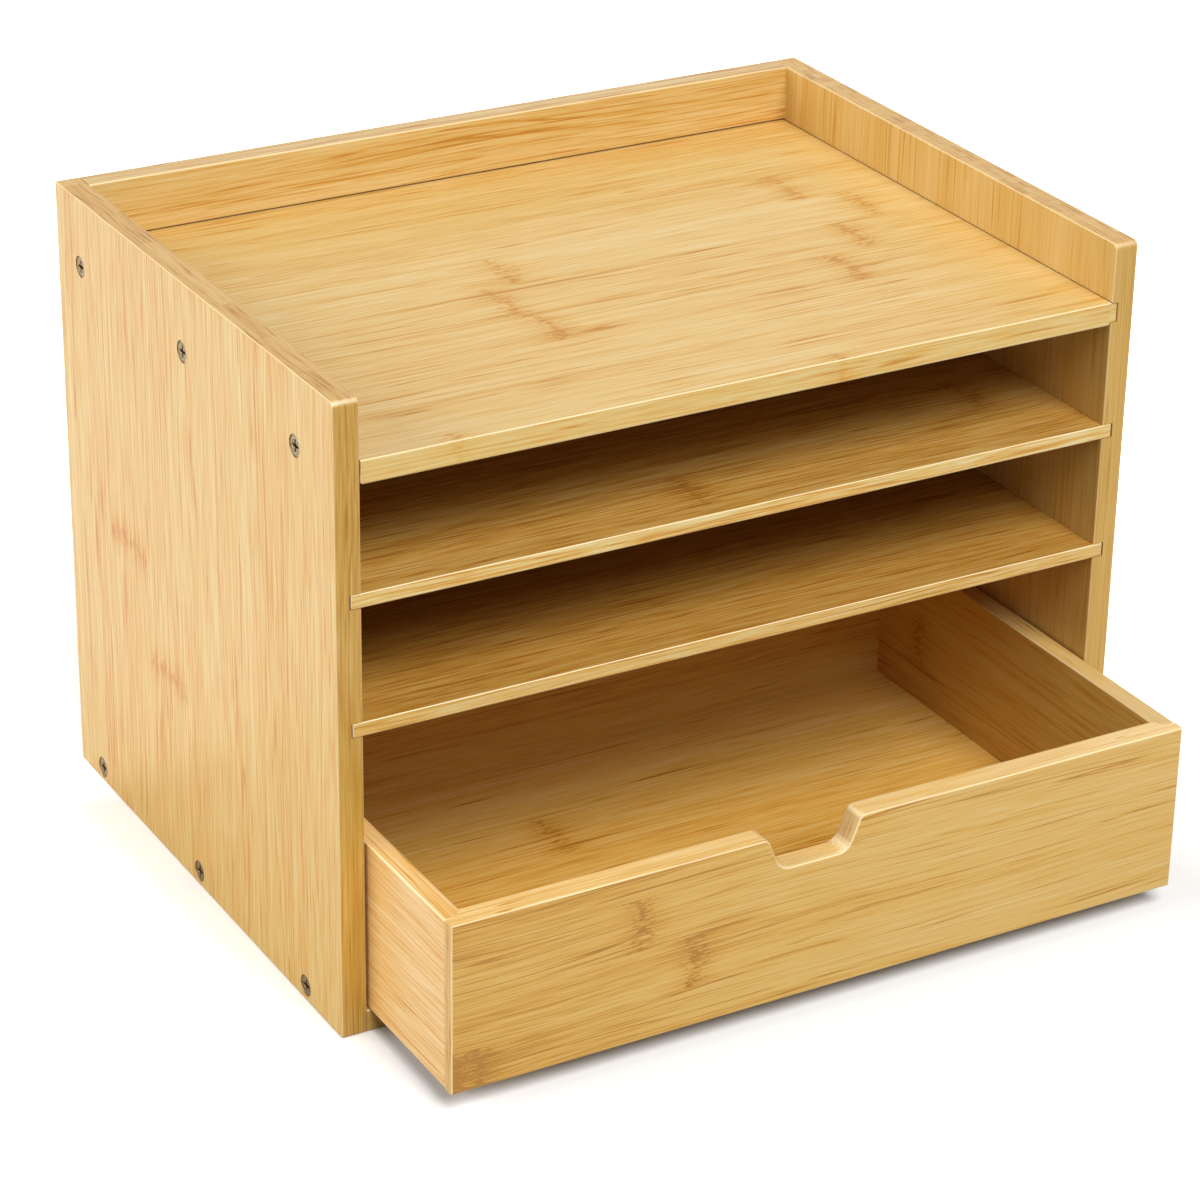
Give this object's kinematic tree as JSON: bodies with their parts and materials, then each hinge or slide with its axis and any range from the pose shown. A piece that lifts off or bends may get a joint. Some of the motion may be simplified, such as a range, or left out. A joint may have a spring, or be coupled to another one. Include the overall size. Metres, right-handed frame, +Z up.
{
  "type": "desktop envelope sorter with drawer",
  "caption": "Bamboo desktop sorter: a railed open tray on top, thin shelves housed in the side panels and a sliding drawer with a finger notch below.",
  "frame": {"origin": "centre of the carcass underside, on the surface that the sorter stands on", "axes": "+Z up, the open front and the drawer face -Y, +X to the right seen from the front"},
  "size_m": [0.33, 0.304, 0.248],
  "materials": {
    "side_bamboo": "clear satin lacquer, vertical grain in glued strips",
    "panel_bamboo": "clear satin lacquer, grain along the width",
    "shelf_bamboo": "clear satin lacquer, grain along the width",
    "drawer_bamboo": "clear satin lacquer, grain along each board",
    "inner_bamboo": "thin sanded bamboo board",
    "screw_bronze": "antique bronze plated steel"
  },
  "bodies": {
    "carcass": {"left_side_panel": "side_bamboo", "right_side_panel": "side_bamboo", "top_panel": "panel_bamboo", "bottom_panel": "panel_bamboo", "upper_shelf": "shelf_bamboo", "lower_shelf": "shelf_bamboo", "back_panel": "inner_bamboo", "rear_rail": "side_bamboo", "left_rail_dowels": "inner_bamboo", "right_rail_dowels": "inner_bamboo", "left_top_screws": "screw_bronze", "left_bottom_screws": "screw_bronze", "right_top_screws": "screw_bronze", "right_bottom_screws": "screw_bronze", "left_drawer_stop": "inner_bamboo", "right_drawer_stop": "inner_bamboo"},
    "drawer": {"drawer_front": "drawer_bamboo", "drawer_left_side": "drawer_bamboo", "drawer_right_side": "drawer_bamboo", "drawer_back": "drawer_bamboo", "drawer_bottom": "inner_bamboo"}
  },
  "joints": [
    {"name": "drawer_slide", "type": "slide", "parent": "carcass", "child": "drawer", "axis": [0, -1, 0], "range_m": [-0.064, 0.086]}
  ]
}
